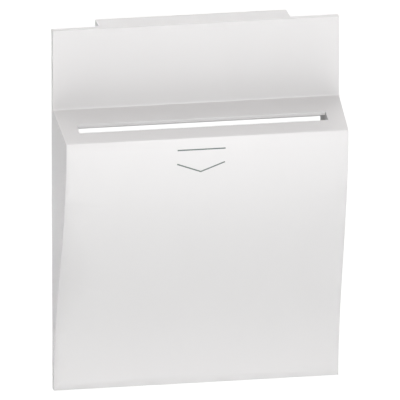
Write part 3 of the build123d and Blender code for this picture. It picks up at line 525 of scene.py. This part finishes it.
def return_spring():
    """A torsion spring of round wire coiled about the lever's pivot, with a leg at each end."""
    low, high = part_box("return_spring")
    x0 = low[0] + SPRING_WIRE_R
    x1 = high[0] - SPRING_WIRE_R

    def coil(turn):
        angle = 2 * math.pi * turn
        y = PIVOT.y + SPRING_COIL_R * math.cos(angle)
        z = PIVOT.z + SPRING_COIL_R * math.sin(angle)
        return Vector((x0 + (x1 - x0) * turn / SPRING_TURNS, y, z))

    count = round(SPRING_TURNS * SPRING_STEPS)
    path = [coil(SPRING_TURNS * k / count) for k in range(count + 1)]
    leave = 2 * math.pi * SPRING_TURNS
    up = Vector((0, -math.sin(leave), math.cos(leave)))
    path = [path[0] - Vector((0, 0, SPRING_LEG_DOWN)), *path, path[-1] + up * SPRING_LEG_UP]
    mesh = bmesh.new()
    tube(mesh, path, SPRING_WIRE_R)
    piece = add_object("spring_wire", mesh, materials["spring_steel"])
    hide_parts("return_spring")
    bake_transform(piece)


return_spring()


# Screws: turned heads with driver recesses and rolled threads, sized by the plain screws they replace

SCREW_SIDES = 24
THREAD_STEPS = 5
PITCH_PER_R = 0.62
THREAD_DEPTH_PER_R = 0.16
POINT_PER_R = 0.8
TIP_PER_R = 0.55
APART = 3 * MM
HEAD_RIM = 0.98
AT_THE_TIP = 0.01 * MM

# The head's outline, as shares of its radius and height
DOME = [(1.0, 0.0), (1.0, 0.45), (0.97, 0.72), (0.88, 0.9), (0.74, 0.98), (0.6, 1.0)]

# Recess bars: their turns, half length and half width by head radius, depth by head height, and taper
RECESSES = {
    "slot": ((0,), 1.5, 0.17, 0.5, 0.95),
    "cross": ((0, math.pi / 2), 0.72, 0.2, 0.6, 0.55),
}

# Each node of screws: its recess, and the turn in radians from one screw to the next
SCREW_SETS = {
    "terminal_screws": ("slot", 0.7),
    "housing_screws": ("cross", 1.1),
    "frame_screws": ("cross", 0.5),
    "guide_screws": ("cross", 0.9),
    "board_screws": ("cross", 0.3),
}


def clusters(spots, gap):
    """The spots in lists, each a chain of steps shorter than the gap, seen along Y."""
    spots = list(spots)
    groups = []
    while spots:
        group = [spots.pop()]
        for spot in group:
            near = [k for k, p in enumerate(spots) if math.hypot(p.x - spot.x, p.z - spot.z) < gap]
            group += [spots[k] for k in near]
            spots = [p for k, p in enumerate(spots) if k not in near]
        groups.append(group)
    return groups


def screws_of(name):
    """The node's plain screws: head, way to the tip, length, shank radius, head radius and height."""
    groups = clusters((nodes[name].matrix_world @ v.co for v in nodes[name].data.vertices), APART)
    found = []
    for group in groups:
        x = (min(p.x for p in group) + max(p.x for p in group)) / 2
        z = (min(p.z for p in group) + max(p.z for p in group)) / 2
        reach = [(p.y, math.hypot(p.x - x, p.z - z)) for p in group]
        low, high = min(reach)[0], max(reach)[0]
        head_r = max(r for _, r in reach)
        head = [y for y, r in reach if r > HEAD_RIM * head_r]
        way = 1 if min(head) - low < high - max(head) else -1
        head_y, tip_y = (low, high) if way > 0 else (high, low)
        shank_r = max(r for y, r in reach if abs(y - tip_y) < AT_THE_TIP)
        found.append((Vector((x, head_y, z)), way, high - low, shank_r, head_r, max(head) - min(head)))
    return found


def turned(mesh, profile, thread):
    """A closed piece turned about Z through (radius, z) points, its thread cut as a real helix."""
    rings = []
    for r, z in profile:
        ring = []
        for k in range(SCREW_SIDES):
            turn = k / SCREW_SIDES
            depth = 0.0
            if thread["from"] <= z <= thread["to"]:
                phase = (z / thread["pitch"] - turn) % 1
                depth = thread["depth"] * abs(2 * phase - 1)
            angle = 2 * math.pi * turn
            ring.append(mesh.verts.new(((r - depth) * math.cos(angle), (r - depth) * math.sin(angle), z)))
        rings.append(ring)
    skin(mesh, rings)


def wedge(mesh, half_length, half_width, top, depth, taper):
    """A tapered bar to cut a recess with, narrower at its foot."""
    corners = []
    for z, scale in ((top + depth, 1.0), (top - depth, taper)):
        for sx, sy in ((-1, -1), (1, -1), (1, 1), (-1, 1)):
            corners.append(mesh.verts.new((sx * half_length * scale, sy * half_width * scale, z)))
    for side in ((0, 1, 2, 3), (4, 5, 6, 7), (0, 1, 5, 4), (1, 2, 6, 5), (2, 3, 7, 6), (3, 0, 4, 7)):
        mesh.faces.new([corners[k] for k in side])


def carve(piece, cutters):
    """The piece's mesh with the cutters taken out of it; piece and cutters are used up."""
    for cutter in cutters:
        cut = piece.modifiers.new("recess", "BOOLEAN")
        cut.operation = "DIFFERENCE"
        cut.solver = "EXACT"
        cut.object = cutter
    bpy.context.view_layer.update()
    solid = bpy.data.meshes.new_from_object(piece.evaluated_get(bpy.context.evaluated_depsgraph_get()))
    for used in (piece, *cutters):
        bpy.data.objects.remove(used)
    return solid


def screw_mesh(length, shank_r, head_r, head_h, recess):
    """One screw along Z with its tip at 0: threaded shank, rounded head, slot or cross."""
    neck = length - head_h
    pitch = PITCH_PER_R * shank_r
    point = POINT_PER_R * shank_r
    steps = math.ceil((neck - point) / pitch * THREAD_STEPS)
    profile = [(TIP_PER_R * shank_r, 0)]
    profile += [(shank_r, point + (neck - point) * k / steps) for k in range(steps + 1)]
    profile += [(head_r * r, neck + head_h * z) for r, z in DOME]
    thread = {"from": point, "to": neck - pitch, "pitch": pitch, "depth": THREAD_DEPTH_PER_R * shank_r}
    mesh = bmesh.new()
    turned(mesh, profile, thread)
    piece = add_object("screw_blank", mesh, materials["screw_steel"])
    turns, half_length, half_width, depth, taper = RECESSES[recess]
    cutters = []
    for turn in turns:
        mesh = bmesh.new()
        wedge(mesh, half_length * head_r, half_width * head_r, length, depth * head_h, taper)
        cutter = add_object("recess_bar", mesh, materials["screw_steel"])
        cutter.rotation_euler.z = turn
        cutters.append(cutter)
    return carve(piece, cutters)


def screw_set(name, recess, turn):
    """Detailed screws in place of this node's plain ones, each turned a little further."""
    group = bmesh.new()
    for k, (head, way, length, *sizes) in enumerate(screws_of(name)):
        data = screw_mesh(length, *sizes, recess)
        tilt = Matrix.Rotation(math.radians(90 if way > 0 else -90), 4, "X")
        spin = Matrix.Rotation(turn * (k + 1), 4, "Z")
        lift = Matrix.Translation((0, 0, -length))
        data.transform(Matrix.Translation(head) @ tilt @ spin @ lift)
        group.from_mesh(data)
        bpy.data.meshes.remove(data)
    piece = add_object(name + "_turned", group, materials["screw_steel"])
    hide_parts(name)
    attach(piece, "root")


for name, (recess, turn) in SCREW_SETS.items():
    screw_set(name, recess, turn)


# Room: surroundings and a pale paper floor, its sizes in metres

AMBIENT = (1.0, 0.985, 0.98, 1)
AMBIENT_STRENGTH = 0.05
FLOOR_DROP = 0.6
FLOOR_R = 9.0
FLOOR_SIDES = 64
FLOOR_LIFT = 0.7


def seen_directly(tree):
    """1 for camera, mirror and see-through rays, 0 for the rays that light things."""
    path = node(tree, "ShaderNodeLightPath").outputs
    either = path["Is Camera Ray"]
    for other in ("Is Glossy Ray", "Is Transmission Ray"):
        either = maths(tree, "MAXIMUM", either, path[other])
    return either


def surroundings():
    """The world round the object: white where it is seen, dim where it lights."""
    world = bpy.data.worlds.new("studio")
    bpy.context.scene.world = world
    world.use_nodes = True
    tree = world.node_tree
    tree.nodes.clear()
    dim = node(tree, "ShaderNodeBackground", {"Color": AMBIENT, "Strength": AMBIENT_STRENGTH})
    white = node(tree, "ShaderNodeBackground", {"Color": (1, 1, 1, 1), "Strength": 1.0})
    sides = {0: seen_directly(tree), 1: dim.outputs[0], 2: white.outputs[0]}
    chosen = node(tree, "ShaderNodeMixShader", sides)
    node(tree, "ShaderNodeOutputWorld", {"Surface": chosen.outputs[0]})


def floor_paper():
    """Pale paper with a faint grain, lifted a little to the eye, and clear from below."""
    paper = bpy.data.materials.new("floor_paper")
    paper.use_nodes = True
    tree = paper.node_tree
    tree.nodes.clear()
    fibres = noise(tree, 2 * MM, place(tree), detail=3.0)
    pale = blended(tree, spread(tree, fibres, 0, 1), (0.49, 0.49, 0.49, 1), (0.51, 0.51, 0.51, 1))
    matte = node(tree, "ShaderNodeBsdfDiffuse", {"Color": pale})
    lift_by = maths(tree, "MULTIPLY", seen_directly(tree), FLOOR_LIFT)
    lift = node(tree, "ShaderNodeEmission", {"Color": (1, 1, 1, 1), "Strength": lift_by})
    both = node(tree, "ShaderNodeAddShader", {0: matte.outputs[0], 1: lift.outputs[0]})
    underside = node(tree, "ShaderNodeNewGeometry").outputs["Backfacing"]
    clear = node(tree, "ShaderNodeBsdfTransparent")
    sides = {0: underside, 1: both.outputs[0], 2: clear.outputs[0]}
    one_sided = node(tree, "ShaderNodeMixShader", sides)
    node(tree, "ShaderNodeOutputMaterial", {"Surface": one_sided.outputs[0]})
    return paper


surroundings()
floor_mesh = bmesh.new()
bmesh.ops.create_circle(floor_mesh, cap_ends=True, segments=FLOOR_SIDES, radius=FLOOR_R)
floor = add_object("floor", floor_mesh, floor_paper(), closed=False)
floor.location.z = cad_box[0].z - FLOOR_DROP
# The lights from below have to pass the floor
floor.visible_shadow = False


# Soft lights: azimuth, elevation and angular width in degrees, strength, colour

LIGHTS = {
    "front_right": (35, 0, 110, 1.17, (1, 1, 1)),
    "key": (-30, 50, 40, 1.23, (1, 0.965, 0.96)),
    "left": (-100, 30, 40, 0.36, (1, 1, 1)),
    "top": (180, 60, 60, 0.51, (1, 1, 1)),
    "below": (0, -50, 60, 0.96, (1, 1, 1)),
    "back": (180, 0, 110, 1.0, (1, 1, 1)),
    "back_right": (150, -15, 110, 0.5, (1, 1, 1)),
    "back_left": (-150, -15, 110, 0.5, (1, 1, 1)),
}

# A softbox close in front of the slot, which falls off down the wall
SOFTBOX_AIM = Vector((0, -15 * MM, 10 * MM))
SOFTBOX_ELEVATION = 20
SOFTBOX_AWAY = 160 * MM
SOFTBOX_WIDTH = 80 * MM
SOFTBOX_WATTS = 0.078


def looking_from(azimuth, elevation):
    """Unit vector from the object towards a place at this azimuth and elevation."""
    a, e = math.radians(azimuth), math.radians(elevation)
    return Vector((math.sin(a) * math.cos(e), -math.cos(a) * math.cos(e), math.sin(e)))


def hang(lamp, spot, out):
    """The lamp at this place, lighting back against the way out, with direct light alone."""
    lamp.cycles.max_bounces = 0
    holder = bpy.data.objects.new(lamp.name, lamp)
    holder.location = spot
    holder.rotation_euler = out.to_track_quat("Z", "Y").to_euler()
    bpy.context.collection.objects.link(holder)
    return holder


for name, (azimuth, elevation, width, strength, colour) in LIGHTS.items():
    lamp = bpy.data.lights.new(name, "SUN")
    lamp.angle = math.radians(width)
    lamp.energy = strength
    lamp.color = colour
    lamp.cycles.use_multiple_importance_sampling = False
    out = looking_from(azimuth, elevation)
    hang(lamp, out, out)

softbox = bpy.data.lights.new("softbox", "AREA")
softbox.shape = "DISK"
softbox.size = SOFTBOX_WIDTH
softbox.energy = SOFTBOX_WATTS
out = looking_from(0, SOFTBOX_ELEVATION)
hang(softbox, SOFTBOX_AIM + out * SOFTBOX_AWAY, out).visible_camera = False


# Camera at the photograph's view, with a lens so long that parallels stay parallel

PICTURE_PX = 400
VIEW_AZIMUTH = -9.85
VIEW_ELEVATION = 18.2
PX_PER_MM = 4.295
LENS_MM = 1500
SENSOR_MM = 36

# The middle of the plate's face, in the part and in the picture
PLATE_FACE = Vector((0, -9.5 * MM, 0))
PLATE_PX = (196.25, 203.97)

camera_data = bpy.data.cameras.new("camera")
camera_data.lens = LENS_MM
camera_data.sensor_width = SENSOR_MM
camera = bpy.data.objects.new("camera", camera_data)
back = looking_from(VIEW_AZIMUTH, VIEW_ELEVATION)
turn = back.to_track_quat("Z", "Y")
right = turn @ Vector((1, 0, 0))
up = turn @ Vector((0, 1, 0))
off_x = (PICTURE_PX / 2 - PLATE_PX[0]) / PX_PER_MM * MM
off_y = (PLATE_PX[1] - PICTURE_PX / 2) / PX_PER_MM * MM
target = PLATE_FACE + right * off_x + up * off_y
away = LENS_MM / SENSOR_MM * PICTURE_PX / PX_PER_MM * MM
camera.location = target + back * away
camera.rotation_mode = "QUATERNION"
camera.rotation_quaternion = turn
bpy.context.collection.objects.link(camera)
bpy.context.scene.camera = camera
bpy.context.scene.view_settings.view_transform = "Standard"
